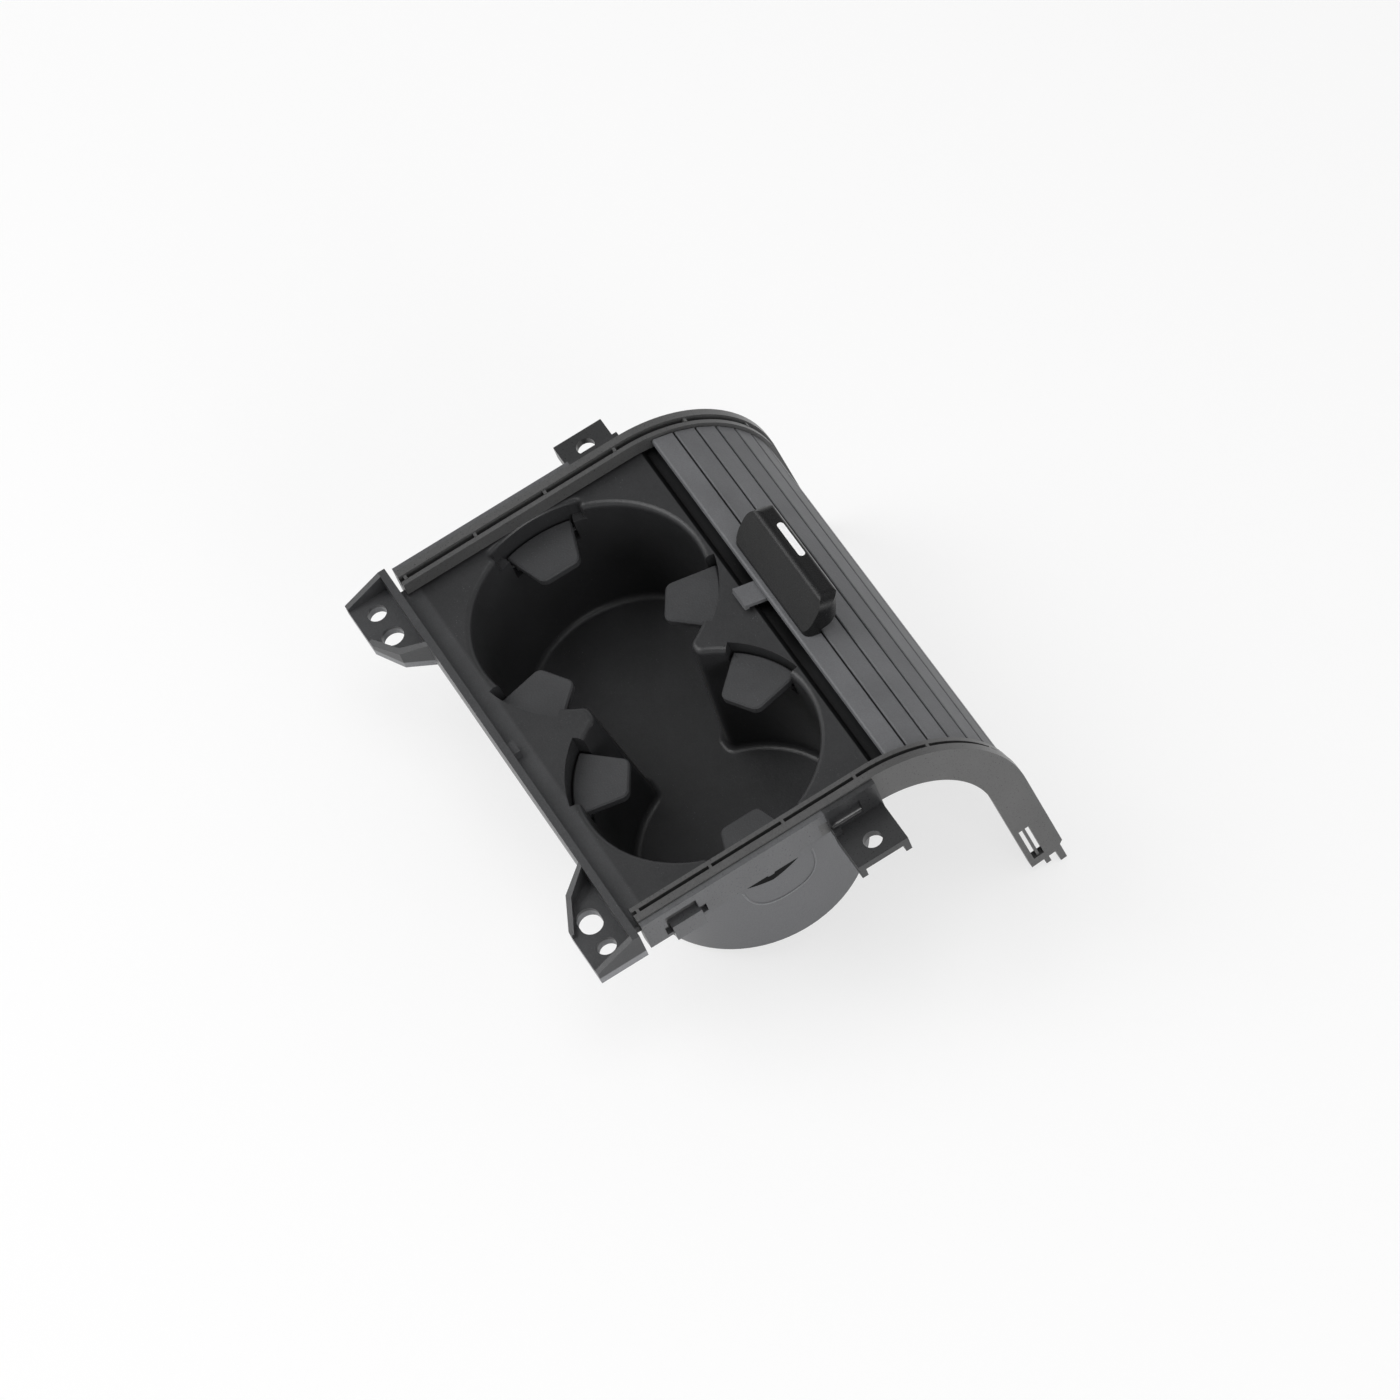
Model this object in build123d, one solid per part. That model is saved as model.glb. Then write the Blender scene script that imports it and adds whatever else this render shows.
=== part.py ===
# Console cup holder with a sliding slatted shutter, in millimetres, +Z up.
# Design frame: X across, Y to the back, Z = 0 on the rail tops, Y = 0 at the rail fronts.
# Every piece is moved at the end so that the origin lies midway between the two ear holes.
import math
import os

from build123d import *

# Two-well tray
WELL_OVERLAP = 2.2
WELL_Y = 43.5
WELL_R = 37.4
WELL_LEAN_X = 0.8
WELL_LEAN_Y = 3.0
WELL_TAPER = 2.1
WELL_MARGIN = 0.4
DECK_TOP = -6.2
DECK_THICK = 2.4
DECK_REAR = 85.0
DECK_REAR_CHAMFER = 1.5
DECK_FRONT = -1.6
DECK_SIDE_GAP = 0.3
FLOOR_Z = -54.7
FLOOR_THICK = 2.3
WALL = 1.8
RIM_FILLET = 1.8
FLOOR_FILLET = 2.0
PASS_FRONT_TOP = 25.2
PASS_REAR_TOP = 61.3
PASS_FRONT_FLOOR = 32.5
PASS_REAR_FLOOR = 58.6
PASS_HALF = 14.0
PASS_CORNER = 3.0
APRON_DROP = 8.0
APRON_THICK = 1.8
APRON_DEG = 45.0

# Front wall with its two screw brackets and the shutter keeper
FRONT_THICK = 2.4
FRONT_TOP = -1.0
FRONT_BOTTOM = -11.0
BRACKET_OUTER_X = 85.0
BRACKET_FRONT_Y = -17.6
BRACKET_BEND_X = 66.0
BRACKET_INNER_X = 55.5
BRACKET_INNER_Y = -12.4
BRACKET_ROOT_X = 50.0
BRACKET_PLATE = 3.5
BRACKET_WALL = 2.0
BRACKET_TIP_Z = -6.4
SCREW_HOLE_X = 76.8
SCREW_HOLE_D = 6.2
PIN_HOLE_X = 65.9
PIN_HOLE_D = 7.2
PIN_SLOT_LENGTH = 9.8
BRACKET_HOLE_Y = -10.6
KEEPER_X = -1.2
KEEPER_WIDTH = 5.0
KEEPER_REACH = 2.5
KEEPER_TOP = -3.2

# Guide rails: straight, then one bend, then a straight arm
RAIL_WEB = 2.7
RAIL_GROOVE = 1.7
RAIL_LIP = 1.6
RAIL_LIP_DROP = 0.6
RAIL_LIP_DEPTH = 5.4
RAIL_GROOVE_DEPTH = 4.0
RAIL_DEPTH = 12.0
RAIL_FRONT = 0.2
BEND_Y = 79.4
BEND_R = 44.0
BEND_DEG = 85.0
ARM_LENGTH = 39.5
TICK_PITCH = 24.9
TICK_FIRST = 1.9
TICK_COUNT = 7
TICK_WIDTH = 1.0
TICK_DROP = 0.4
TICK_HEIGHT = 1.3
ARM_SLOT_WIDTH = 3.6
ARM_SLOT_LENGTH = 15.5
ARM_SLOT_END = 3.0
ARM_SLOT_IN = 1.8
ARM_SLOT_RIB = 0.9
ARM_PRONG = 2.6
ARM_PRONG_WIDTH = 1.7
ARM_PRONG_IN = 4.4
ARM_TAB = 5.4
ARM_TAB_WIDTH = 2.2
ARM_TAB_IN = 8.6
ARM_CORNER = 3.0

# Side panels with the clip, the windows and the screw ear
PANEL_THICK = 2.0
PANEL_GAP = 0.1
PANEL_TOP = -0.6
PANEL_BOTTOM = -11.6
PANEL_STEP = -9.0
PANEL_STEP_Y = 52.0
PANEL_EAR_FRONT = 60.0
PANEL_END = 80.6
PANEL_STRAP = -4.0
CLIP_WINDOW_FRONT = 7.5
CLIP_WINDOW_LENGTH = 10.5
CLIP_WINDOW_TOP = -3.0
CLIP_WINDOW_BOTTOM = -7.0
CLIP_BOTTOM = -13.6
CLIP_PROUD = 1.3
CLIP_SHIFT = 0.8
RELIEF_WIDTH = 2.0
RELIEF_TOP = -7.0
RELIEF_BOTTOM = -10.4
EAR_FRONT = 63.2
EAR_REAR = 80.3
EAR_REACH = 15.9
EAR_TOP = -10.3
EAR_THICK = 2.4
EAR_HOLE_OUT = 9.7
EAR_HOLE_Y = 71.6
EAR_HOLE_D = 6.0
EAR_FLANGE = 2.0
EAR_FLANGE_DROP = 3.0
EAR_POST = 2.4
EAR_OVAL_Y = 69.0
EAR_OVAL_Z = -6.6
EAR_OVAL_LENGTH = 5.6
EAR_OVAL_HEIGHT = 2.6

# Slatted shutter
SLAT_COUNT = 10
SLAT_PITCH = 7.6
SLAT_GAP = 0.7
SLAT_THICK = 2.2
SLAT_DROP = 1.8
SLAT_END_GAP = 0.4
SLAT_UNDERCUT = 0.5
SLAT_EDGE = 0.25
SHUTTER_FRONT_S = 8.6
BAR_NOSE = 0.7

# Handle on the shutter bar
HANDLE_X = -1.2
HANDLE_HALF = 23.2
HANDLE_FRONT = -1.8
HANDLE_FOOT = 3.2
HANDLE_BACK = 10.7
HANDLE_HEIGHT = 12.6
HANDLE_TOP_FRONT = 4.2
HANDLE_TOP_BACK = 9.8
HANDLE_TOE = 1.3
HANDLE_LIFT = 4.2
HANDLE_FOOT_LIFT = 1.5
HANDLE_CORNER = 6.0
HANDLE_FRONT_CORNER = 2.5
HANDLE_FILLET = 1.0
HANDLE_CROWN = 3.0
HANDLE_END = 4.5
MARK_LENGTH = 15.5
MARK_WIDTH = 2.2
MARK_X = -4.8
MARK_BACK = 8.0
MARK_DEPTH = 0.8
MARK_PROUD = 0.05
CATCH_X = -4.5
CATCH_WIDTH = 8.2
CATCH_REACH = 10.4
CATCH_THICK = 1.2
CATCH_NOSE = 1.5
CATCH_DROP = 0.6

# Sprung cup fingers, three to a well
FINGER_INNER_DEG = 120.0
FINGER_REAR_LIFT = 3.2
FINGER_FRONT_LIFT = 0.8
FINGER_TOP = -13.2
FINGER_THICK = 2.4
FINGER_TIP_R = 22.6
FINGER_SETBACK = 2.6
FINGER_BASE_HALF = 11.2
FINGER_TIP_HALF = 6.6
FINGER_SHOULDER = 2.5
FINGER_CORNER = 2.8
FINGER_EDGE = 0.5
POCKET_GAP = 0.7
POCKET_TOP_STEP = 0.1
POCKET_TOP_DEG = 23.0
POCKET_DEG = 18.0
POCKET_ENTRY = 2.0
POCKET_ENTRY_DEG = 1.3
POCKET_CORNER = 1.1
POCKET_TOP_END = -12.0
POCKET_BOTTOM = -20.4
POCKET_WALL = 1.6
POCKET_WALL_DEG = 3.0
PIN_R = 1.0
PIN_FIT = 0.05
PIN_LENGTH = 26.4
PIN_AXIS_IN = 3.1
PIN_AXIS_DROP = 3.4
KNUCKLE_R = 2.0
NOTCH_HALF = 4.6
NOTCH_REACH = 3.4
NOTCH_SKIN = 1.1
SPRING_R = 1.85
SPRING_BORE_R = 1.35
SPRING_HALF = 3.4
SPRING_GROOVE = 0.25
SPRING_TURNS = 5
SPRING_LEG_R = 0.22
SPRING_LEG = 2.9

# Sizes that follow from the ones above: the wells set the width of everything else
WELL_X = WELL_R - WELL_OVERLAP
WELL_FLOOR_R = WELL_R - WELL_TAPER
APRON_R = BEND_R - APRON_DROP
FINGER_BASE_R = WELL_R + FINGER_SETBACK
FINGER_SHOULDER_R = FINGER_BASE_R - FINGER_SHOULDER
PIN_AXIS_R = FINGER_BASE_R - PIN_AXIS_IN
POCKET_R = FINGER_BASE_R + POCKET_GAP
POCKET_TOP_R = POCKET_R - POCKET_TOP_STEP
DECK_HALF = WELL_X + POCKET_R + POCKET_WALL + WELL_MARGIN
RAIL_IN_X = DECK_HALF + DECK_SIDE_GAP
RAIL_OUT_X = RAIL_IN_X + RAIL_WEB
RAIL_LIP_OUT_X = RAIL_IN_X - RAIL_GROOVE
SLAT_HALF = RAIL_LIP_OUT_X - RAIL_LIP - SLAT_END_GAP
PANEL_OUT_X = RAIL_OUT_X + PANEL_GAP + PANEL_THICK
EAR_OUT_X = PANEL_OUT_X + EAR_REACH
EAR_HOLE_X = PANEL_OUT_X + EAR_HOLE_OUT


def block(x0, x1, y0, y1, z0, z1):
    """Box between two corners."""
    size = Box(x1 - x0, y1 - y0, z1 - z0)
    return Pos((x0 + x1) / 2, (y0 + y1) / 2, (z0 + z1) / 2) * size


def side_plate(points, x0, x1):
    """Outline in the Y-Z plane, given thickness along X."""
    with BuildPart() as plate:
        with BuildSketch(Plane.YZ.offset(x0)):
            with BuildLine():
                Polyline(*points, close=True)
            make_face()
        extrude(amount=x1 - x0)
    return plate.part


def plan_plate(points, z0, z1):
    """Outline in the X-Y plane, given height along Z."""
    with BuildPart() as plate:
        with BuildSketch(Plane.XY.offset(z0)):
            with BuildLine():
                Polyline(*points, close=True)
            make_face()
        extrude(amount=z1 - z0)
    return plate.part


def mirrored(solid):
    """The same solid on the other side of the middle plane."""
    return mirror(solid, about=Plane.YZ)


def bend_point(radius, degrees):
    """Point of the bend at a radius and an angle from the straight."""
    turn = math.radians(degrees)
    return (BEND_Y + radius * math.sin(turn), -BEND_R + radius * math.cos(turn))


def arm_point(depth, along):
    """Point of the arm, a depth under the rim and a length past the bend."""
    y, z = bend_point(BEND_R - depth, BEND_DEG)
    turn = math.radians(BEND_DEG)
    return (y + along * math.cos(turn), z - along * math.sin(turn))


def band(top, bottom, x0, x1, front, arm):
    """Strip that follows the rail between two depths under the rim."""
    half = BEND_DEG / 2
    with BuildPart() as strip:
        with BuildSketch(Plane.YZ.offset(x0)):
            with BuildLine():
                Line((front, -bottom), (front, -top))
                Line((front, -top), (BEND_Y, -top))
                outer = [bend_point(BEND_R - top, angle) for angle in (0, half, BEND_DEG)]
                ThreePointArc(*outer)
                Line(outer[-1], arm_point(top, arm))
                Line(arm_point(top, arm), arm_point(bottom, arm))
                inner = [bend_point(BEND_R - bottom, angle) for angle in (BEND_DEG, half, 0)]
                Line(arm_point(bottom, arm), inner[0])
                ThreePointArc(*inner)
                Line(inner[-1], (front, -bottom))
            make_face()
        extrude(amount=x1 - x0)
    return strip.part


def arm_block(depth0, depth1, along0, along1, x0, x1):
    """Block on the arm, square to it."""
    corners = [arm_point(depth0, along0), arm_point(depth1, along0)]
    corners += [arm_point(depth1, along1), arm_point(depth0, along1)]
    return side_plate(corners, x0, x1)


def track_pose(length):
    """Place and tilt of the shutter at a length past the start of the bend."""
    radius = BEND_R - SLAT_DROP
    tilt = math.degrees(length / radius)
    if length <= 0:
        return (BEND_Y + length, -SLAT_DROP, 0.0)
    if tilt <= BEND_DEG:
        y, z = bend_point(radius, tilt)
        return (y, z, tilt)
    y, z = arm_point(SLAT_DROP, length - radius * math.radians(BEND_DEG))
    return (y, z, BEND_DEG)


def slat_place(index):
    """Location of the bar (index 0) or of a slat on the open track."""
    y, z, tilt = track_pose(SHUTTER_FRONT_S + (index + 0.5) * SLAT_PITCH)
    return Pos(0, y, z) * Rot(-tilt, 0, 0)


def well_outline(grow, level):
    """Both wells and the passage between them, at the deck (0) or the floor (1)."""
    x = WELL_X + WELL_LEAN_X * level
    y = WELL_Y + WELL_LEAN_Y * level
    radius = WELL_R + (WELL_FLOOR_R - WELL_R) * level + grow
    front = PASS_FRONT_TOP + (PASS_FRONT_FLOOR - PASS_FRONT_TOP) * level - grow
    rear = PASS_REAR_TOP + (PASS_REAR_FLOOR - PASS_REAR_TOP) * level + grow
    outline = Pos(x, y) * Circle(radius) + Pos(-x, y) * Circle(radius)
    outline += Pos(0, (front + rear) / 2) * Rectangle(2 * PASS_HALF, rear - front)
    if grow > 0:
        return outline
    return fillet(outline.vertices(), PASS_CORNER)


def side_pocket(turn):
    """Outline of the shallow recess above a side finger, wider than the finger itself."""
    half = math.radians(POCKET_TOP_DEG)
    reach = 2 * POCKET_TOP_R
    wedge = Polygon((0, 0), (reach, -reach * math.tan(half)), (reach, reach * math.tan(half)), align=None)
    return Rot(0, 0, turn) * (Circle(POCKET_TOP_R) & wedge)


def mouth_outline(level):
    """Outline of the wells with the two side recesses, all corners rounded."""
    outline = well_outline(0.0, level)
    outline += Pos(WELL_X, WELL_Y) * side_pocket(0)
    outline += Pos(-WELL_X, WELL_Y) * side_pocket(180)
    corners = [v for v in outline.vertices() if well_distance(v) > POCKET_TOP_R - POCKET_CORNER / 2]
    outline = fillet(corners, POCKET_CORNER)
    entries = [v for v in outline.vertices() if is_entry(v)]
    return fillet(entries, POCKET_ENTRY)


def well_distance(spot):
    """Distance in plan from the axis of the nearer well."""
    return math.hypot(abs(spot.X) - WELL_X, spot.Y - WELL_Y)


def is_entry(spot):
    """True for the corners where a side recess leaves the round of its well."""
    half = math.radians(POCKET_TOP_DEG)
    turn = math.atan2(abs(spot.Y - WELL_Y), abs(spot.X) - WELL_X)
    at_side = abs(turn - half) < math.radians(POCKET_ENTRY_DEG)
    return at_side and well_distance(spot) < WELL_R + POCKET_CORNER


def depth_level(z):
    """Share of the way from the deck (0) to the floor (1)."""
    return (z - DECK_TOP) / (FLOOR_Z - DECK_TOP)


def well_solid(grow, floor):
    """Tapered, slightly leaning solid of the two wells from the deck to a floor."""
    top = Pos(0, 0, DECK_TOP) * well_outline(grow, 0.0)
    bottom = Pos(0, 0, floor) * well_outline(grow, depth_level(floor))
    return loft([bottom, top], ruled=True)


def well_hollow():
    """Space of the wells: recessed mouth, tapered walls and a rounded floor edge."""
    level = depth_level(POCKET_TOP_END)
    mouth = [Pos(0, 0, POCKET_TOP_END) * mouth_outline(level), Pos(0, 0, DECK_TOP) * mouth_outline(0.0)]
    walls = [Pos(0, 0, FLOOR_Z) * well_outline(0.0, 1.0)]
    walls += [Pos(0, 0, POCKET_TOP_END) * well_outline(0.0, level)]
    low = loft(walls, ruled=True)
    low = fillet(low.edges().group_by(Axis.Z)[0], FLOOR_FILLET)
    return low + loft(mouth, ruled=True)


def apron():
    """Curved guard under the shutter, from the deck's rear edge down inside the bend."""
    with BuildPart() as guard:
        with BuildSketch(Plane.YZ.offset(-DECK_HALF)):
            with BuildLine():
                outer = [bend_point(APRON_R, share * APRON_DEG) for share in (0, 0.5, 1)]
                inner = [bend_point(APRON_R - APRON_THICK, share * APRON_DEG) for share in (1, 0.5, 0)]
                ThreePointArc(*outer)
                Line(outer[-1], inner[0])
                ThreePointArc(*inner)
                Line(inner[-1], outer[0])
            make_face()
        extrude(amount=2 * DECK_HALF)
    return guard.part


def sector(inner, outer, half_deg, z0, z1):
    """Ring sector around the Z axis, centred on +X."""
    half = math.radians(half_deg)
    reach = 2 * outer
    side = reach * math.tan(half)
    wedge = plan_plate([(0, 0), (reach, -side), (reach, side)], z0, z1)
    ring = Pos(0, 0, (z0 + z1) / 2) * Cylinder(outer, z1 - z0)
    ring -= Pos(0, 0, (z0 + z1) / 2) * Cylinder(inner, z1 - z0)
    return ring & wedge


def finger_sites():
    """Name, place in plan and lift of the six fingers."""
    spots = [("side", 0.0, 0.0), ("rear", FINGER_INNER_DEG, FINGER_REAR_LIFT)]
    spots.append(("front", -FINGER_INNER_DEG, FINGER_FRONT_LIFT))
    sites = []
    for side, sign in (("right", 1), ("left", -1)):
        for spot, turn, lift in spots:
            angle = turn if sign > 0 else 180 - turn
            sites.append((side + "_" + spot, Pos(sign * WELL_X, WELL_Y, 0) * Rot(0, 0, angle), lift))
    return sites


def tangent_rod(radius, length):
    """Rod along the finger's pivot axis."""
    rod = Rot(90, 0, 0) * Cylinder(radius, length)
    return Pos(PIN_AXIS_R, 0, FINGER_TOP - PIN_AXIS_DROP) * rod


def finger_pin():
    """Plain steel pin of a finger: the pocket's width and a seat at each end."""
    return tangent_rod(PIN_R, PIN_LENGTH)


def finger_spring():
    """Torsion spring on the pin: a coil of pointed turns with two short legs."""
    step = SPRING_HALF / SPRING_TURNS
    crest = [SPRING_R - SPRING_GROOVE * (turn % 2) for turn in range(2 * SPRING_TURNS + 1)]
    outside = [(radius, -SPRING_HALF + turn * step) for turn, radius in enumerate(crest)]
    section = [(SPRING_BORE_R, -SPRING_HALF)] + outside + [(SPRING_BORE_R, SPRING_HALF)]
    with BuildPart() as turns:
        with BuildSketch(Plane.XY):
            with BuildLine():
                Polyline(*section, close=True)
            make_face()
        revolve(axis=Axis.Y)
    axis_z = FINGER_TOP - PIN_AXIS_DROP
    coil = Pos(PIN_AXIS_R, 0, axis_z) * turns.part
    middle = (SPRING_R + SPRING_BORE_R) / 2
    end = SPRING_HALF - 2 * SPRING_LEG_R
    leg = Box(2 * SPRING_LEG_R, 2 * SPRING_LEG_R, SPRING_LEG)
    inner = Pos(PIN_AXIS_R - SPRING_LEG / 2, end, axis_z - middle) * Rot(0, 90, 0) * leg
    lower = Pos(PIN_AXIS_R + middle, -end, axis_z - SPRING_LEG / 2) * leg
    return coil + inner + lower


def cup_finger():
    """Flap with two knuckles, pointing to the well's middle at rest."""
    with BuildPart() as flap:
        with BuildSketch(Plane.XY.offset(FINGER_TOP - FINGER_THICK)):
            with BuildLine():
                tip = [(FINGER_TIP_R, -FINGER_TIP_HALF), (FINGER_TIP_R, FINGER_TIP_HALF)]
                back = [(FINGER_SHOULDER_R, FINGER_BASE_HALF), (FINGER_BASE_R, FINGER_BASE_HALF)]
                near = [(FINGER_BASE_R, -FINGER_BASE_HALF), (FINGER_SHOULDER_R, -FINGER_BASE_HALF)]
                Polyline(*tip, *back, *near, close=True)
            make_face()
        extrude(amount=FINGER_THICK)
    round_wall = Pos(0, 0, FINGER_TOP - FINGER_THICK / 2) * Cylinder(FINGER_BASE_R, FINGER_THICK)
    plate = flap.part & round_wall
    corners = plate.edges().filter_by(Axis.Z).filter_by_position(Axis.X, 0, FINGER_SHOULDER_R - FINGER_CORNER)
    plate = fillet(corners, FINGER_CORNER)
    rim = plate.edges().group_by(Axis.Z)[-1]
    plate = chamfer(rim, FINGER_EDGE)
    plate += tangent_rod(KNUCKLE_R, 2 * FINGER_BASE_HALF - KNUCKLE_R)
    skin_z = FINGER_TOP - NOTCH_SKIN
    deep_z = FINGER_TOP - PIN_AXIS_DROP - 2 * KNUCKLE_R
    plate -= block(PIN_AXIS_R - NOTCH_REACH, FINGER_BASE_R, -NOTCH_HALF, NOTCH_HALF, deep_z, skin_z)
    return plate - tangent_rod(PIN_R + PIN_FIT, 4 * FINGER_BASE_HALF)


def bracket(slotted):
    """Right-hand screw bracket: a plate with a sloping wall on three sides."""
    root = DECK_FRONT - FRONT_THICK
    outer = [(BRACKET_ROOT_X, root), (BRACKET_INNER_X, BRACKET_INNER_Y)]
    outer += [(BRACKET_BEND_X, BRACKET_FRONT_Y), (BRACKET_OUTER_X, BRACKET_FRONT_Y)]
    outer += [(BRACKET_OUTER_X, DECK_FRONT), (BRACKET_ROOT_X, DECK_FRONT)]
    solid = plan_plate(outer, FRONT_BOTTOM, FRONT_TOP)
    wall = BRACKET_WALL
    inner = [(BRACKET_ROOT_X + wall, root), (BRACKET_INNER_X + wall, BRACKET_INNER_Y + wall / 2)]
    inner += [(BRACKET_BEND_X + wall, BRACKET_FRONT_Y + wall / 2)]
    inner += [(BRACKET_BEND_X + wall, BRACKET_FRONT_Y - wall)]
    inner += [(BRACKET_OUTER_X - wall, BRACKET_FRONT_Y - wall), (BRACKET_OUTER_X - wall, root)]
    solid -= plan_plate(inner, FRONT_BOTTOM + BRACKET_PLATE, 0)
    slope = [(root, FRONT_TOP), (BRACKET_FRONT_Y, BRACKET_TIP_Z), (BRACKET_FRONT_Y - wall, BRACKET_TIP_Z)]
    slope += [(BRACKET_FRONT_Y - wall, -FRONT_TOP), (root, -FRONT_TOP)]
    solid -= side_plate(slope, 0, 2 * BRACKET_OUTER_X)
    drill = Cylinder(SCREW_HOLE_D / 2, 4 * BRACKET_PLATE)
    solid -= Pos(SCREW_HOLE_X, BRACKET_HOLE_Y, FRONT_BOTTOM) * drill
    pin = Pos(PIN_HOLE_X, BRACKET_HOLE_Y, FRONT_BOTTOM)
    drill = Cylinder(PIN_HOLE_D / 2, 4 * BRACKET_PLATE)
    if slotted:
        half = (PIN_SLOT_LENGTH - PIN_HOLE_D) / 2
        solid -= pin * Pos(-half, 0, 0) * drill
        solid -= pin * Pos(half, 0, 0) * drill
        return solid - pin * Box(2 * half, PIN_HOLE_D, 4 * BRACKET_PLATE)
    return solid - pin * drill


def cup_tray():
    """Deck, joined wells, finger pockets, front wall, brackets and keeper in one moulding."""
    deck_low = DECK_TOP - DECK_THICK
    tray = block(-DECK_HALF, DECK_HALF, DECK_FRONT, DECK_REAR, deck_low, DECK_TOP)
    rear_edge = tray.edges().group_by(Axis.Z)[-1].sort_by(Axis.Y)[-1]
    tray = chamfer(rear_edge, DECK_REAR_CHAMFER)
    tray += well_solid(WALL, FLOOR_Z - FLOOR_THICK)
    tray += apron()
    wide = POCKET_TOP_DEG + POCKET_WALL_DEG
    low = POCKET_BOTTOM - POCKET_WALL
    for name, place, lift in finger_sites():
        tray += place * sector(WELL_FLOOR_R, POCKET_R + POCKET_WALL, wide, low, deck_low)
    tray -= well_hollow()
    rim = tray.edges().filter_by_position(Axis.Z, DECK_TOP, DECK_TOP)
    tray = fillet([edge for edge in rim if is_rim(edge)], RIM_FILLET)
    for name, place, lift in finger_sites():
        raised = place * Pos(0, 0, lift)
        tray -= raised * sector(FINGER_TIP_R, POCKET_R, POCKET_DEG, POCKET_BOTTOM, 0)
        tray -= raised * tangent_rod(PIN_R + PIN_FIT, PIN_LENGTH)
    root = DECK_FRONT - FRONT_THICK
    tray += block(-BRACKET_ROOT_X, BRACKET_ROOT_X, root, DECK_FRONT, FRONT_BOTTOM, FRONT_TOP)
    keeper_x0 = KEEPER_X - KEEPER_WIDTH / 2
    keeper_x1 = KEEPER_X + KEEPER_WIDTH / 2
    tray += block(keeper_x0, keeper_x1, DECK_FRONT, DECK_FRONT + KEEPER_REACH, DECK_TOP, KEEPER_TOP)
    return tray + bracket(True) + mirrored(bracket(False))


def is_rim(edge):
    """True for deck edges that lie on the outline of the wells."""
    return well_distance(edge @ 0.5) < POCKET_R


def guide_rail():
    """Right-hand rail: outer web, thin inner lip and the groove between them."""
    rail = band(0.0, RAIL_DEPTH, RAIL_IN_X, RAIL_OUT_X, RAIL_FRONT, ARM_LENGTH)
    lip_in = RAIL_LIP_OUT_X - RAIL_LIP
    rail += band(RAIL_LIP_DROP, RAIL_LIP_DEPTH, lip_in, RAIL_LIP_OUT_X, RAIL_FRONT, ARM_LENGTH)
    rail += band(RAIL_GROOVE_DEPTH, RAIL_LIP_DEPTH, RAIL_LIP_OUT_X, RAIL_IN_X, RAIL_FRONT, ARM_LENGTH)
    for index in range(TICK_COUNT):
        rail += rail_tick(TICK_FIRST + index * TICK_PITCH)
    rail = rail - arm_slot() + arm_slot_rib()
    near = ARM_LENGTH - ARM_CORNER
    corner = [arm_point(0, near), arm_point(0, ARM_LENGTH), arm_point(ARM_CORNER, ARM_LENGTH)]
    rail -= side_plate(corner, lip_in, RAIL_OUT_X)
    return rail + arm_prongs()


def rail_tick(length):
    """Small bridge across the groove, at a length along the rail."""
    low = TICK_DROP + TICK_HEIGHT
    half = TICK_WIDTH / 2
    straight = BEND_Y - RAIL_FRONT
    if length <= straight:
        y = RAIL_FRONT + length
        return block(RAIL_LIP_OUT_X, RAIL_IN_X, y - half, y + half, -low, -TICK_DROP)
    turn = math.degrees((length - straight) / BEND_R)
    if turn <= BEND_DEG:
        tick = block(RAIL_LIP_OUT_X, RAIL_IN_X, -half, half, BEND_R - low, BEND_R - TICK_DROP)
        return Pos(0, BEND_Y, -BEND_R) * Rot(-turn, 0, 0) * tick
    along = length - straight - BEND_R * math.radians(BEND_DEG)
    return arm_block(TICK_DROP, low, along - half, along + half, RAIL_LIP_OUT_X, RAIL_IN_X)


def arm_slot():
    """Long slot through the web near the foot of the arm."""
    far = ARM_LENGTH - ARM_SLOT_END
    low = RAIL_DEPTH - ARM_SLOT_IN
    return arm_block(low - ARM_SLOT_WIDTH, low, far - ARM_SLOT_LENGTH, far, RAIL_IN_X, RAIL_OUT_X)


def arm_slot_rib():
    """Thin rib lengthwise in the slot, set back from the outer face."""
    far = ARM_LENGTH - ARM_SLOT_END
    middle = RAIL_DEPTH - ARM_SLOT_IN - ARM_SLOT_WIDTH / 2
    half = ARM_SLOT_RIB / 2
    near = far - ARM_SLOT_LENGTH
    return arm_block(middle - half, middle + half, near, far, RAIL_IN_X, RAIL_OUT_X - half)


def arm_prongs():
    """Two plug-in prongs on the foot of the arm."""
    prong = RAIL_DEPTH - ARM_PRONG_IN
    tab = RAIL_DEPTH - ARM_TAB_IN
    prong_tip = ARM_LENGTH + ARM_PRONG
    tab_tip = ARM_LENGTH + ARM_TAB
    pair = arm_block(prong - ARM_PRONG_WIDTH, prong, ARM_LENGTH - WALL, prong_tip, RAIL_IN_X, RAIL_OUT_X)
    pair += arm_block(tab - ARM_TAB_WIDTH, tab, ARM_LENGTH - ARM_CORNER, tab_tip, RAIL_IN_X, RAIL_OUT_X)
    return pair


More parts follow.
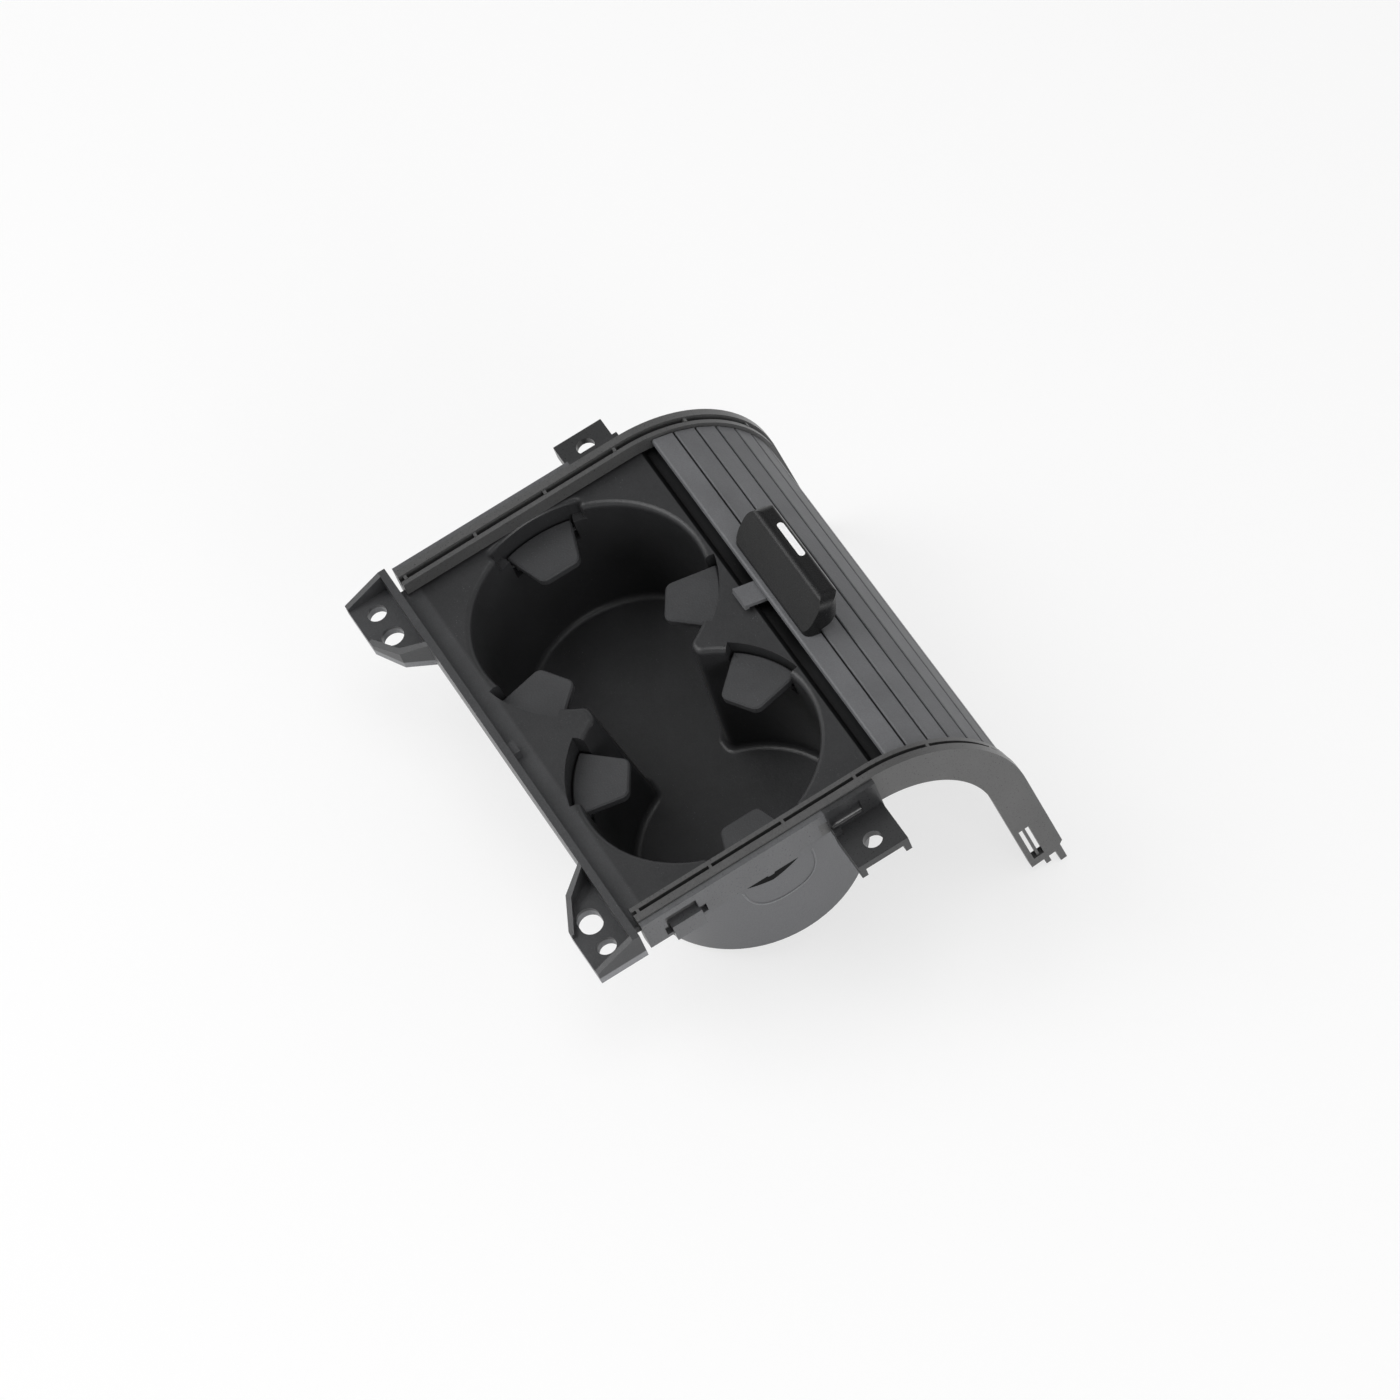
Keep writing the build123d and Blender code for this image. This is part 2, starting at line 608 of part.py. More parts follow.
def side_panel():
    """Right-hand skirt with its clip, its windows and the screw ear."""
    inside = RAIL_OUT_X + PANEL_GAP
    outline = [(RAIL_FRONT, PANEL_TOP), (PANEL_END, PANEL_TOP), (PANEL_END, EAR_TOP - EAR_THICK)]
    outline += [(EAR_FRONT, EAR_TOP - EAR_THICK), (EAR_FRONT, PANEL_STRAP), (PANEL_EAR_FRONT, PANEL_STRAP)]
    outline += [(PANEL_EAR_FRONT, PANEL_STEP), (PANEL_STEP_Y, PANEL_STEP), (PANEL_STEP_Y, PANEL_BOTTOM)]
    outline += [(RAIL_FRONT, PANEL_BOTTOM)]
    panel = side_plate(outline, inside, PANEL_OUT_X)
    window_end = CLIP_WINDOW_FRONT + CLIP_WINDOW_LENGTH
    panel -= block(inside, PANEL_OUT_X, CLIP_WINDOW_FRONT, window_end, CLIP_WINDOW_BOTTOM, CLIP_WINDOW_TOP)
    clip_y0 = CLIP_WINDOW_FRONT + CLIP_SHIFT
    clip_y1 = window_end + CLIP_SHIFT / 2
    panel -= block(inside, PANEL_OUT_X, clip_y0 - RELIEF_WIDTH, clip_y0, RELIEF_BOTTOM, RELIEF_TOP)
    panel -= block(inside, PANEL_OUT_X, clip_y1, clip_y1 + RELIEF_WIDTH, RELIEF_BOTTOM, RELIEF_TOP)
    panel += block(inside, PANEL_OUT_X + CLIP_PROUD, clip_y0, clip_y1, CLIP_BOTTOM, CLIP_WINDOW_BOTTOM)
    panel += block(PANEL_OUT_X, EAR_OUT_X, EAR_FRONT, EAR_REAR, EAR_TOP - EAR_THICK, EAR_TOP)
    post_x1 = PANEL_OUT_X + EAR_POST
    panel += block(PANEL_OUT_X, post_x1, EAR_FRONT, EAR_FRONT + EAR_POST, EAR_TOP, EAR_TOP + EAR_POST)
    low = EAR_TOP - EAR_THICK - EAR_FLANGE_DROP
    for y0 in (EAR_FRONT, EAR_REAR - EAR_FLANGE):
        panel += block(PANEL_OUT_X, EAR_OUT_X, y0, y0 + EAR_FLANGE, low, EAR_TOP - EAR_THICK)
    oval = extrude(SlotOverall(EAR_OVAL_LENGTH, EAR_OVAL_HEIGHT), 2 * EAR_OVAL_HEIGHT, both=True)
    panel -= Pos(PANEL_OUT_X, EAR_OVAL_Y, EAR_OVAL_Z) * Rot(90, 0, 90) * oval
    drill = Cylinder(EAR_HOLE_D / 2, 4 * EAR_THICK)
    return panel - Pos(EAR_HOLE_X, EAR_HOLE_Y, EAR_TOP) * drill


def slat_profile():
    """Section of a slat across its run: bevelled top, undercut sides."""
    half = (SLAT_PITCH - SLAT_GAP) / 2
    points = [(-half + SLAT_EDGE, 0), (half - SLAT_EDGE, 0), (half, -SLAT_EDGE)]
    points += [(half - SLAT_UNDERCUT, -SLAT_THICK), (SLAT_UNDERCUT - half, -SLAT_THICK), (-half, -SLAT_EDGE)]
    return points


def shutter_slat():
    """Plain slat in its own frame, top face on Z = 0."""
    return side_plate(slat_profile(), -SLAT_HALF, SLAT_HALF)


def shutter_bar():
    """Leading slat with a rounded front edge."""
    half = (SLAT_PITCH - SLAT_GAP) / 2
    points = [(-half, 0), (half - SLAT_EDGE, 0), (half, -SLAT_EDGE)]
    points += [(half - SLAT_UNDERCUT, -SLAT_THICK), (-half, -SLAT_THICK)]
    bar = side_plate(points, -SLAT_HALF, SLAT_HALF)
    front = bar.edges().filter_by(Axis.X).group_by(Axis.Y)[0]
    return fillet(front, BAR_NOSE)


def rounded_block(plane, points, radii, depth):
    """Outline with a corner radius at each point, given depth both ways from its plane."""
    with BuildPart() as solid:
        with BuildSketch(plane) as outline:
            with BuildLine():
                Polyline(*points, close=True)
            make_face()
            for (u, v), radius in zip(points, radii):
                if radius > 0:
                    spot = min(outline.sketch_local.vertices(), key=lambda c: math.hypot(c.X - u, c.Y - v))
                    fillet(spot, radius)
        extrude(amount=depth, both=True)
    return solid.part


def shutter_handle():
    """Pull handle with a sloping thumb face, in the bar's frame, rounded in all three views."""
    crown = HANDLE_HEIGHT - HANDLE_TOE
    side = [(HANDLE_FRONT, 0), (HANDLE_FOOT, 0), (HANDLE_FOOT, HANDLE_FOOT_LIFT), (HANDLE_BACK, HANDLE_LIFT)]
    side += [(HANDLE_BACK, crown), (HANDLE_TOP_BACK, HANDLE_HEIGHT), (HANDLE_TOP_FRONT, HANDLE_HEIGHT)]
    side += [(HANDLE_FRONT, HANDLE_TOE)]
    side_radii = [0, 0, 0, HANDLE_FILLET, HANDLE_FILLET, HANDLE_FILLET, HANDLE_CROWN, 0]
    plan = [(-HANDLE_HALF, HANDLE_FRONT), (HANDLE_HALF, HANDLE_FRONT)]
    plan += [(HANDLE_HALF, HANDLE_BACK), (-HANDLE_HALF, HANDLE_BACK)]
    plan_radii = [HANDLE_FRONT_CORNER, HANDLE_FRONT_CORNER, HANDLE_CORNER, HANDLE_CORNER]
    face = [(-HANDLE_HALF, 0), (HANDLE_HALF, 0), (HANDLE_HALF, HANDLE_HEIGHT), (-HANDLE_HALF, HANDLE_HEIGHT)]
    face_radii = [0, 0, HANDLE_END, HANDLE_END]
    body = rounded_block(Plane.YZ, side, side_radii, HANDLE_HALF)
    body &= rounded_block(Plane.XY, plan, plan_radii, 2 * HANDLE_HEIGHT)
    body &= rounded_block(Plane.XZ, face, face_radii, 2 * HANDLE_BACK)
    return body - handle_mark(0.0)


def handle_mark(proud):
    """Long rounded inlay in the handle's top, in the bar's frame."""
    slot = extrude(SlotOverall(MARK_LENGTH, MARK_WIDTH), MARK_DEPTH + proud)
    return Pos(MARK_X, MARK_BACK, HANDLE_HEIGHT - MARK_DEPTH) * slot


def shutter_catch():
    """Flat hook under the bar that meets the keeper when the shutter is closed."""
    x0 = CATCH_X - CATCH_WIDTH / 2
    x1 = CATCH_X + CATCH_WIDTH / 2
    low = -SLAT_THICK - CATCH_THICK
    hook = block(x0, x1, -CATCH_REACH, 0, low, -SLAT_THICK)
    return hook + block(x0, x1, -CATCH_REACH, CATCH_NOSE - CATCH_REACH, low - CATCH_DROP, low)


def save(name, solid):
    """Move a piece into the mount's frame and write it."""
    moved = Pos(0, -EAR_HOLE_Y, -EAR_TOP) * solid
    moved.label = name
    export_step(moved, "parts/" + name + ".step")


def main():
    os.makedirs("parts", exist_ok=True)
    save("cup_tray", cup_tray())
    rail = guide_rail()
    panel = side_panel()
    save("guide_rail_right", rail)
    save("guide_rail_left", mirrored(rail))
    save("side_panel_right", panel)
    save("side_panel_left", mirrored(panel))
    save("shutter_bar", slat_place(0) * shutter_bar())
    for index in range(1, SLAT_COUNT + 1):
        save("shutter_slat_%02d" % index, slat_place(index) * shutter_slat())
    save("shutter_handle", slat_place(0) * Pos(HANDLE_X, 0, 0) * shutter_handle())
    save("handle_mark", slat_place(0) * Pos(HANDLE_X, 0, 0) * handle_mark(MARK_PROUD))
    save("shutter_catch", slat_place(0) * shutter_catch())
    flap = cup_finger()
    spring = finger_spring()
    pin = finger_pin()
    for name, place, lift in finger_sites():
        raised = place * Pos(0, 0, lift)
        save("finger_" + name, raised * flap)
        save("finger_pin_" + name, raised * pin)
        save("finger_spring_" + name, raised * spring)


main()
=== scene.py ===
import math

import bmesh
import bpy
from mathutils import Matrix, Vector


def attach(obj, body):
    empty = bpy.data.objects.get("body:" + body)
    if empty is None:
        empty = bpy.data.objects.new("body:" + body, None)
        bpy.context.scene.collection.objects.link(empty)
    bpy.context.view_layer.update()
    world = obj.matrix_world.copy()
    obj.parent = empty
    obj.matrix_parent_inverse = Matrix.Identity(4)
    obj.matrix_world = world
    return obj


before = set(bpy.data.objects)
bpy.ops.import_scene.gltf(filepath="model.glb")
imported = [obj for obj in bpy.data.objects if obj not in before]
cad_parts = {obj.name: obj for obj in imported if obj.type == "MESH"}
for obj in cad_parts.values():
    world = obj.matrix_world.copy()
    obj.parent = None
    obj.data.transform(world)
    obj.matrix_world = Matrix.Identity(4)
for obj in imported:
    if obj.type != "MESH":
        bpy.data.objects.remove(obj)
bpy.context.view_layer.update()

MM = 0.001
# The design frame of the part's source, moved to the row frame.
ROW_Y = -71.6
ROW_Z = 10.3
# Wells, finger ring and deck, in the design frame. WALL and RING_R radii are to the middle of the wall.
WELL_X = 35.2
WELL_Y = 43.5
WELL_LEAN_X = 0.8
WELL_LEAN_Y = 3.0
WELL_FLOOR = -54.7
WALL_TOP_R = 38.3
WALL_FLOOR_R = 36.2
HALF_WALL = 0.9
RING_R = 41.2
RING_OUT = 42.3
RING_LOW = -21.8
DECK_TOP = -6.2
DECK_UNDER = -8.4
# Half width near the passage where outer walls keep the inside tone, without the painted light of the other
# outer walls, and the widths of soft changes.
PASS_HALF = 17.0
PASS_SOFT = 13.0
EDGE_SOFT = 0.4
# Painted light and shade from front to back: start, end, tone before and tone after, in the design frame.
TRAY_PAINTED_BANDS = ((4.0, 5.0, 1.7, 1.0), (83.6, 84.0, 1.0, 0.15))
PANEL_PAINTED_SHADE = ((62.8, 63.2, 1.0, 0.3),)
# Grain of the plastic, in repeats per metre, and the depth of its relief in metres.
CLOUD_SCALE = 55.0
MOTE_SCALE = 2300.0
PATCH_SCALE = 130.0
PIT_SHARE = 0.55
RELIEF_DEPTH = 0.00006
WIRE_DEPTH = 0.00003
# Rounding of edges, and the angle in degrees from which an edge is rounded.
EDGE_R = 0.2
EDGES = {"cup_tray": 0.25, "shutter_handle": 0.5, "handle_mark": 0.12}
EDGE_ANGLE = 40
# D-shaped line and slit outside a side pocket, the line lighter with painted light and the slit dark with
# painted shade: angles in degrees round the well, the rest in millimetres.
BEAD_R = 0.35
BEAD_STEPS = 64
BEAD_POWER = 0.55
BEAD_MIDDLE = 0.7
BEAD_HALF = 18.7
BEAD_TOP = -22.2
BEAD_DEPTH = 14.8
SLIT_STEPS = 40
SLIT_MIDDLE = -1.6
SLIT_HALF = 13.0
SLIT_Z = -20.0
SLIT_UP = 1.3
SLIT_DOWN = 1.7
SLIT_TIP = 0.1
SLIT_NICK = 0.9
SLIT_NICK_SHARE = 0.12
SLIT_SUNK = 0.5
SLIT_PROUD = 0.04
# Film under each gap of the shutter.
SLAT_COUNT = 10
FILM_GAP = 0.15
FILM_THICK = 0.3
FILM_OVERLAP = 0.7
FILM_LAST_GAP = 0.7
FILM_END = 1.2
# Floor: two points that it passes through, in the design frame, its half size in metres and its tone.
FLOOR_FRONT = (9.6, -57.1)
FLOOR_REAR = (123.8, -85.3)
FLOOR_HALF = 3.0
FLOOR_WHITE = 0.93
FLOOR_GLOW = 0.7
# Studio: height and level of the walls and the ceiling, and the lamps with place, size and power.
WALL_TOP = 0.25
CEILING_EDGE = 0.6
CEILING_LEVEL = 0.3
LAMPS = {
    "key": ((-0.6, -0.9, 1.4), 1.2, 18.0),
    "top": ((0.2, 0.3, 1.7), 1.0, 7.0),
    "fill": ((1.6, 0.2, 0.45), 0.8, 10.0),
}
# Camera of the photo, from the fit of the part's own points.
CAMERA_PLACE = (1.46295, -0.23887, 1.84490)
CAMERA_RIGHT = (0.461766, 0.847874, -0.260542)
CAMERA_UP = (-0.639511, 0.521782, 0.564597)
CAMERA_BACK = (0.614653, -0.094092, 0.783166)
CAMERA_LENS = 203.24
CAMERA_SENSOR = 36.0


def row(x, y, z):
    """Point of the part's design frame, in millimetres, as a point of the row frame in metres."""
    return Vector((x * MM, (y + ROW_Y) * MM, (z + ROW_Z) * MM))


def place_object(name, data):
    """New object in the scene."""
    thing = bpy.data.objects.new(name, data)
    bpy.context.scene.collection.objects.link(thing)
    return thing


def closed_mesh(name, corners, faces):
    """Mesh of a closed solid, with its faces turned outwards."""
    mesh = bpy.data.meshes.new(name)
    mesh.from_pydata([tuple(corner) for corner in corners], [], faces)
    mesh.update()
    solid = bmesh.new()
    solid.from_mesh(mesh)
    bmesh.ops.recalc_face_normals(solid, faces=solid.faces)
    solid.to_mesh(mesh)
    solid.free()
    return mesh


# Materials

class Nodes:
    """Short way to add and link shader nodes."""

    def __init__(self, name):
        self.material = bpy.data.materials.new(name)
        self.material.use_nodes = True
        self.tree = self.material.node_tree
        self.tree.nodes.clear()
        self.output = self.add("ShaderNodeOutputMaterial")

    def put(self, value, socket):
        """Link a socket to another, or set it to a constant."""
        if hasattr(value, "links"):
            self.tree.links.new(value, socket)
        else:
            socket.default_value = value

    def add(self, kind, **inputs):
        """Node with its inputs, by name."""
        node = self.tree.nodes.new(kind)
        for key, value in inputs.items():
            self.put(value, node.inputs[key.replace("_", " ")])
        return node

    def link(self, source, target):
        """Link one socket to another."""
        self.tree.links.new(source, target)

    def ramp(self, value, stops):
        """Colour that follows a value through the stops."""
        node = self.add("ShaderNodeValToRGB", Fac=value)
        elements = node.color_ramp.elements
        while len(elements) < len(stops):
            elements.new(0.5)
        for element, (place, colour) in zip(elements, stops):
            element.position = place
            element.color = colour
        return node.outputs["Color"]

    def math(self, operation, first, second):
        """Sum, product or the like of two values."""
        node = self.add("ShaderNodeMath")
        node.operation = operation
        for value, socket in zip((first, second), node.inputs):
            self.put(value, socket)
        return node.outputs["Value"]

    def spread(self, value, low, high, to_low, to_high):
        """Value carried from one range to another."""
        node = self.add("ShaderNodeMapRange", Value=value)
        node.inputs["From Min"].default_value = low
        node.inputs["From Max"].default_value = high
        node.inputs["To Min"].default_value = to_low
        node.inputs["To Max"].default_value = to_high
        return node.outputs["Result"]

    def mix(self, factor, first, second):
        """Blend of two colours. Sockets 6 and 7 are the two colours of this node."""
        node = self.add("ShaderNodeMix", Factor=factor)
        node.data_type = "RGBA"
        self.put(first, node.inputs[6])
        self.put(second, node.inputs[7])
        return node.outputs[2]

    def noise(self, place, scale, detail, rough=0.5):
        """Cloudy value round a half."""
        node = self.add("ShaderNodeTexNoise", Vector=place, Scale=scale, Detail=detail, Roughness=rough)
        return node.outputs["Fac"]

    def place(self):
        """Place on the piece, in the row frame."""
        return self.add("ShaderNodeTexCoord").outputs["Object"]

    def finish(self, shader):
        """Material with this shader on its surface."""
        self.link(shader.outputs["BSDF"], self.output.inputs["Surface"])
        return self.material


def grey(value, tint=0.03):
    """Slightly cool grey."""
    return (value * (1 - tint), value * (1 - tint / 2), value * (1 + tint), 1.0)


def painted_light_mask(n, place):
    """Where the painted light goes: one on the outer walls of the wells, below the deck, and zero elsewhere.
    """
    split = n.add("ShaderNodeSeparateXYZ", Vector=place)
    top = row(0, WELL_Y, DECK_TOP)
    floor = row(0, WELL_Y + WELL_LEAN_Y, WELL_FLOOR)
    height = split.outputs["Z"]
    middle_x = n.spread(height, top.z, floor.z, WELL_X * MM, (WELL_X + WELL_LEAN_X) * MM)
    middle_y = n.spread(height, top.z, floor.z, top.y, floor.y)
    side = n.math("ABSOLUTE", split.outputs["X"], 0.0)
    across = n.math("SUBTRACT", side, middle_x)
    back = n.math("SUBTRACT", split.outputs["Y"], middle_y)
    plan = n.add("ShaderNodeCombineXYZ", X=across, Y=back).outputs["Vector"]
    reach = n.add("ShaderNodeVectorMath")
    reach.operation = "LENGTH"
    n.link(plan, reach.inputs[0])
    wall = n.spread(height, top.z, floor.z, WALL_TOP_R * MM, WALL_FLOOR_R * MM)
    ring = n.spread(height, row(0, 0, RING_LOW - EDGE_SOFT).z, row(0, 0, RING_LOW).z, 0.0, RING_R * MM)
    past = n.math("SUBTRACT", reach.outputs["Value"], n.math("MAXIMUM", wall, ring))
    outer = n.spread(past, 0.0, EDGE_SOFT * MM, 0.0, 1.0)
    under = n.spread(height, row(0, 0, DECK_UNDER).z, row(0, 0, DECK_UNDER - EDGE_SOFT).z, 0.0, 1.0)
    clear = n.spread(side, PASS_HALF * MM, (PASS_HALF + PASS_SOFT) * MM, 0.0, 1.0)
    return n.math("MULTIPLY", n.math("MULTIPLY", outer, under), clear)


def painted_band_tone(n, place, painted_bands):
    """Painted light and shade that change across the part, from front to back."""
    back = n.add("ShaderNodeSeparateXYZ", Vector=place).outputs["Y"]
    tone = 1.0
    for start, end, first, last in painted_bands:
        step = n.spread(back, row(0, start, 0).y, row(0, end, 0).y, first, last)
        tone = n.math("MULTIPLY", step, tone)
    return tone


def plastic(name, dark, light, rough, grain, height, dust=0.5, gloss_level=0.4, outside_painted_light=None, painted_bands=()):
    """Moulded plastic: cloudy colour, fine grain in gloss and height, a little dust, and where asked,
    painted light on the outer walls of the wells and bands of painted light and shade.
    """
    n = Nodes(name)
    place = n.place()
    cloud = n.noise(place, CLOUD_SCALE, 4.0, 0.6)
    fine = n.noise(place, grain, 3.0, 0.65)
    pits = n.add("ShaderNodeTexVoronoi", Vector=place, Scale=grain * PIT_SHARE).outputs["Distance"]
    colour = n.ramp(cloud, [(0.32, dark), (0.68, light)])
    if outside_painted_light:
        colour = n.mix(painted_light_mask(n, place), colour, outside_painted_light)
    tone = n.spread(fine, 0.3, 0.7, 0.86, 1.14)
    if painted_bands:
        tone = n.math("MULTIPLY", tone, painted_band_tone(n, place, painted_bands))
    shaded = n.add("ShaderNodeVectorMath")
    shaded.operation = "SCALE"
    n.link(colour, shaded.inputs[0])
    n.link(tone, shaded.inputs["Scale"])
    mote = n.noise(place, MOTE_SCALE, 1.0)
    patch = n.noise(place, PATCH_SCALE, 2.0)
    specks = n.spread(mote, 0.70, 0.76, 0.0, dust)
    where = n.spread(patch, 0.48, 0.66, 0.0, 1.0)
    dusty = n.mix(n.math("MULTIPLY", specks, where), shaded.outputs["Vector"], grey(0.16))
    gloss = n.spread(fine, 0.3, 0.7, rough - 0.06, rough + 0.07)
    relief = n.math("ADD", fine, pits)
    bump = n.add("ShaderNodeBump", Strength=height, Distance=RELIEF_DEPTH, Height=relief)
    shader = n.add("ShaderNodeBsdfPrincipled", Roughness=gloss, Normal=bump.outputs["Normal"])
    shader.inputs["Specular IOR Level"].default_value = gloss_level
    n.link(dusty, shader.inputs["Base Color"])
    return n.finish(shader)


def white_mark(name):
    """White inlay with a faint grain."""
    n = Nodes(name)
    cloud = n.noise(n.place(), 900.0, 3.0)
    colour = n.ramp(cloud, [(0.3, (0.88, 0.88, 0.89, 1)), (0.7, (0.95, 0.95, 0.95, 1))])
    gloss = n.spread(cloud, 0.3, 0.7, 0.3, 0.45)
    shader = n.add("ShaderNodeBsdfPrincipled", Roughness=gloss)
    n.link(colour, shader.inputs["Base Color"])
    return n.finish(shader)


def steel(name):
    """Blackened steel wire and pin."""
    n = Nodes(name)
    streak = n.noise(n.place(), 1500.0, 4.0)
    colour = n.ramp(streak, [(0.3, (0.018, 0.018, 0.019, 1)), (0.7, (0.032, 0.032, 0.033, 1))])
    gloss = n.spread(streak, 0.3, 0.7, 0.40, 0.58)
    bump = n.add("ShaderNodeBump", Strength=0.3, Distance=WIRE_DEPTH, Height=streak)
    shader = n.add("ShaderNodeBsdfPrincipled", Metallic=1.0, Roughness=gloss, Normal=bump.outputs["Normal"])
    n.link(colour, shader.inputs["Base Color"])
    return n.finish(shader)


# The tray's outer well walls take a lighter tone as painted light of the floor; its bands paint light on the
# front strip, front wall and brackets, and shade on the apron behind the deck.
tray_black = plastic(
    "tray_black", grey(0.026), grey(0.032), rough=0.36, grain=2600.0, height=0.3,
    gloss_level=0.38, outside_painted_light=grey(0.12), painted_bands=TRAY_PAINTED_BANDS)
rail_black = plastic(
    "rail_black", grey(0.068, 0.0), grey(0.080, 0.0), rough=0.32, grain=1900.0, height=0.06,
    dust=0.2, gloss_level=0.6)
# The panel's tone drops to 0.3 behind the ear's front edge: painted shade.
panel_black = plastic(
    "panel_black", grey(0.084), grey(0.098), rough=0.32, grain=1700.0, height=0.06,
    dust=0.2, gloss_level=0.6, painted_bands=PANEL_PAINTED_SHADE)
slat_charcoal = plastic("slat_charcoal", grey(0.118), grey(0.140), rough=0.52, grain=2200.0, height=0.55)
slat_charcoal_b = plastic("slat_charcoal_b", grey(0.108), grey(0.129), rough=0.54, grain=2200.0, height=0.55)
handle_charcoal = plastic(
    "handle_charcoal", grey(0.006), grey(0.009), rough=0.30, grain=3000.0, height=0.15,
    dust=0.3, gloss_level=0.3)
finger_charcoal = plastic(
    "finger_charcoal", grey(0.040), grey(0.050), rough=0.52, grain=2400.0, height=0.6, gloss_level=0.3)
# The bead's lighter tone is painted light, as on the outer walls it lies on, a little brighter still as a
# painted highlight on its edge.
bead_painted_lit = plastic(
    "bead_painted_lit", grey(0.14), grey(0.17), rough=0.34, grain=1900.0, height=0.06, gloss_level=0.5)
# The slit's near-black tone is painted shade for the dark inside of an opening.
slit_painted_shade = plastic(
    "slit_painted_shade", grey(0.003), grey(0.006), rough=0.7, grain=1900.0, height=0.3, dust=0.0, gloss_level=0.1)
film_black = plastic(
    "film_black", grey(0.030), grey(0.040), rough=0.6, grain=2200.0, height=0.2, dust=0.0, gloss_level=0.2)
mark_white = white_mark("mark_white")
pin_steel = steel("pin_steel")


def material_for(name):
    """Material of a CAD node."""
    if name == "cup_tray":
        return tray_black
    if name.startswith("guide_rail"):
        return rail_black
    if name.startswith("side_panel"):
        return panel_black
    if name == "shutter_handle":
        return handle_charcoal
    if name == "handle_mark":
        return mark_white
    if name.startswith("finger_pin") or name.startswith("finger_spring"):
        return pin_steel
    if name.startswith("finger"):
        return finger_charcoal
    if name.startswith("shutter_slat") and int(name[-2:]) % 2:
        return slat_charcoal_b
    return slat_charcoal


for name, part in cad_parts.items():
    part.data.materials.clear()
    part.data.materials.append(material_for(name))
    if "pin" in name or "spring" in name:
        continue
    soft = part.modifiers.new("soft_edges", "BEVEL")
    soft.width = EDGES.get(name, EDGE_R) * MM
    soft.segments = 2
    soft.limit_method = "ANGLE"
    soft.angle_limit = math.radians(EDGE_ANGLE)
    soft.harden_normals = True


# Moulded marks outside each side finger pocket, the line lighter with painted light and the slit dark with
# painted shade

def wall_point(sign, degrees, z):
    """Point on the outside of a well wall, at an angle round the well and a height."""
    level = (z - DECK_TOP) / (WELL_FLOOR - DECK_TOP)
    radius = WALL_TOP_R + (WALL_FLOOR_R - WALL_TOP_R) * level + HALF_WALL
    turn = math.radians(degrees)
    x = WELL_X + WELL_LEAN_X * level + radius * math.cos(turn)
    y = WELL_Y + WELL_LEAN_Y * level + radius * math.sin(turn)
    return row(sign * x, y, z)


def ring_point(sign, degrees, z, radius):
    """Point on the finger ring, at an angle round the well and a height."""
    turn = math.radians(degrees)
    return row(sign * (WELL_X + radius * math.cos(turn)), WELL_Y + radius * math.sin(turn), z)


def pocket_bead(side, sign):
    """Raised D-shaped line round the foot of the pocket, half sunk in the wall, lighter in tone as painted
    light.
    """
    shape = bpy.data.curves.new("pocket_bead_" + side, "CURVE")
    shape.dimensions = "3D"
    shape.bevel_depth = BEAD_R * MM
    shape.bevel_resolution = 3
    shape.use_fill_caps = True
    line = shape.splines.new("POLY")
    line.points.add(BEAD_STEPS)
    for step, point in enumerate(line.points):
        turn = math.pi * step / BEAD_STEPS
        across = math.copysign(abs(math.cos(turn)) ** BEAD_POWER, math.cos(turn))
        z = BEAD_TOP - BEAD_DEPTH * math.sin(turn) ** BEAD_POWER
        point.co = (*wall_point(sign, BEAD_MIDDLE + BEAD_HALF * across, z), 1.0)
    shape.materials.append(bead_painted_lit)
    bead = place_object("pocket_bead_" + side, shape)
    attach(bead, "frame")


def pocket_slit_shade(side, sign):
    """Pointed slit in the pocket's outer wall, a thin dark inlay of painted shade for its shadowed inside,
    with a small step in its edge.
    """
    corners = []
    for step in range(SLIT_STEPS + 1):
        share = 2 * step / SLIT_STEPS - 1
        degrees = SLIT_MIDDLE + SLIT_HALF * share
        nick = SLIT_NICK if abs(share) < SLIT_NICK_SHARE else 0.0
        top = SLIT_Z + SLIT_UP * (1 - share * share) - nick
        low = SLIT_Z - SLIT_DOWN * (1 - abs(share)) - SLIT_TIP
        for radius in (RING_OUT - SLIT_SUNK, RING_OUT + SLIT_PROUD):
            corners.append(ring_point(sign, degrees, top, radius))
            corners.append(ring_point(sign, degrees, low, radius))
    faces = [(0, 1, 3, 2)]
    for step in range(SLIT_STEPS):
        a = 4 * step
        b = a + 4
        faces += [(a + 2, a + 3, b + 3, b + 2), (a + 1, a, b, b + 1)]
        faces += [(a, a + 2, b + 2, b), (a + 3, a + 1, b + 1, b + 3)]
    end = 4 * SLIT_STEPS
    faces.append((end + 2, end + 3, end + 1, end))
    mesh = closed_mesh("pocket_slit_shade_" + side, corners, faces)
    mesh.materials.append(slit_painted_shade)
    slit = place_object("pocket_slit_shade_" + side, mesh)
    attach(slit, "frame")


for side, sign in (("right", 1), ("left", -1)):
    pocket_bead(side, sign)
    pocket_slit_shade(side, sign)


# Film that closes the gaps between the slats, each strip held by the slat before it

def slat_points(name):
    """Corners of a slat in the row frame."""
    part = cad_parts[name]
    return [part.matrix_world @ corner.co for corner in part.data.vertices]


def in_section(point):
    """Point moved to the part's middle plane."""
    return Vector((0.0, point.y, point.z))


def middle(points):
    """Middle of a slat's section."""
    return in_section(sum(points, Vector()) / len(points))


def inward(way):
    """Direction at right angles to a step along the shutter, towards the inside of the bend."""
    return Vector((0.0, way.z, -way.y))


